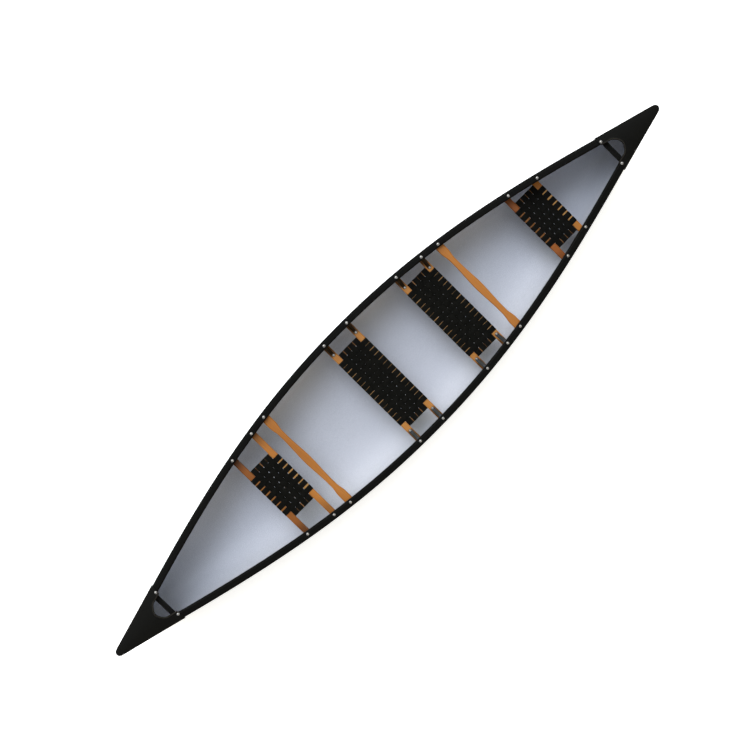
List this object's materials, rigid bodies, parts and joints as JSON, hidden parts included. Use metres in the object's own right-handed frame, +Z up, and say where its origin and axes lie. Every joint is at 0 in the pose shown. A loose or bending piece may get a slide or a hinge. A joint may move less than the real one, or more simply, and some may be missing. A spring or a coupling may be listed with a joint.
{
  "type": "fishing canoe",
  "caption": "Open fishing canoe with a moulded hull, vinyl gunwales, end decks with hand-holds, ash thwarts and webbed bench seats.",
  "frame": {"origin": "on the floor under the middle of the hull, at the bottom centre of the bounding box", "axes": "+X to the bow along the keel, +Y to port, +Z up"},
  "size_m": [5.03, 0.9726, 0.5687],
  "materials": {
    "hull_laminate": "dark green vinyl outer face of the hull's laminate, satin, lightly scuffed",
    "hull_lining": "light bluish grey inner face of the hull's laminate, finely speckled, matt",
    "gunwale_vinyl": "black extruded vinyl, fine lengthwise grooves, satin",
    "deck_moulding": "black moulded plastic with a fine grain",
    "ash_wood": "oiled ash, amber, with lengthwise grain",
    "seat_webbing": "black polyester webbing, woven over and under",
    "hanger_strap": "dark grey flat metal strap",
    "stainless_bolt": "stainless steel, domed heads"
  },
  "bodies": {
    "root": {"hull": "hull_laminate", "gunwale_port": "gunwale_vinyl", "gunwale_starboard": "gunwale_vinyl", "bow_deck": "deck_moulding", "stern_deck": "deck_moulding", "bow_handle": "deck_moulding", "stern_handle": "deck_moulding", "bow_thwart": "ash_wood", "stern_thwart": "ash_wood", "bow_seat_fore_rail": "ash_wood", "bow_seat_aft_rail": "ash_wood", "bow_seat_cross_piece_port": "ash_wood", "bow_seat_cross_piece_starboard": "ash_wood", "bow_seat_webbing": "seat_webbing", "bow_seat_fore_spacer_port": "ash_wood", "bow_seat_fore_spacer_starboard": "ash_wood", "bow_seat_aft_spacer_port": "ash_wood", "bow_seat_aft_spacer_starboard": "ash_wood", "middle_fore_seat_fore_rail": "ash_wood", "middle_fore_seat_aft_rail": "ash_wood", "middle_fore_seat_cross_piece_port": "ash_wood", "middle_fore_seat_cross_piece_starboard": "ash_wood", "middle_fore_seat_webbing": "seat_webbing", "middle_fore_seat_fore_strap_port": "hanger_strap", "middle_fore_seat_fore_strap_starboard": "hanger_strap", "middle_fore_seat_aft_strap_port": "hanger_strap", "middle_fore_seat_aft_strap_starboard": "hanger_strap", "middle_aft_seat_fore_rail": "ash_wood", "middle_aft_seat_aft_rail": "ash_wood", "middle_aft_seat_cross_piece_port": "ash_wood", "middle_aft_seat_cross_piece_starboard": "ash_wood", "middle_aft_seat_webbing": "seat_webbing", "middle_aft_seat_fore_strap_port": "hanger_strap", "middle_aft_seat_fore_strap_starboard": "hanger_strap", "middle_aft_seat_aft_strap_port": "hanger_strap", "middle_aft_seat_aft_strap_starboard": "hanger_strap", "stern_seat_fore_rail": "ash_wood", "stern_seat_aft_rail": "ash_wood", "stern_seat_cross_piece_port": "ash_wood", "stern_seat_cross_piece_starboard": "ash_wood", "stern_seat_webbing": "seat_webbing", "stern_seat_fore_spacer_port": "ash_wood", "stern_seat_fore_spacer_starboard": "ash_wood", "stern_seat_aft_spacer_port": "ash_wood", "stern_seat_aft_spacer_starboard": "ash_wood"}
  },
  "joints": []
}
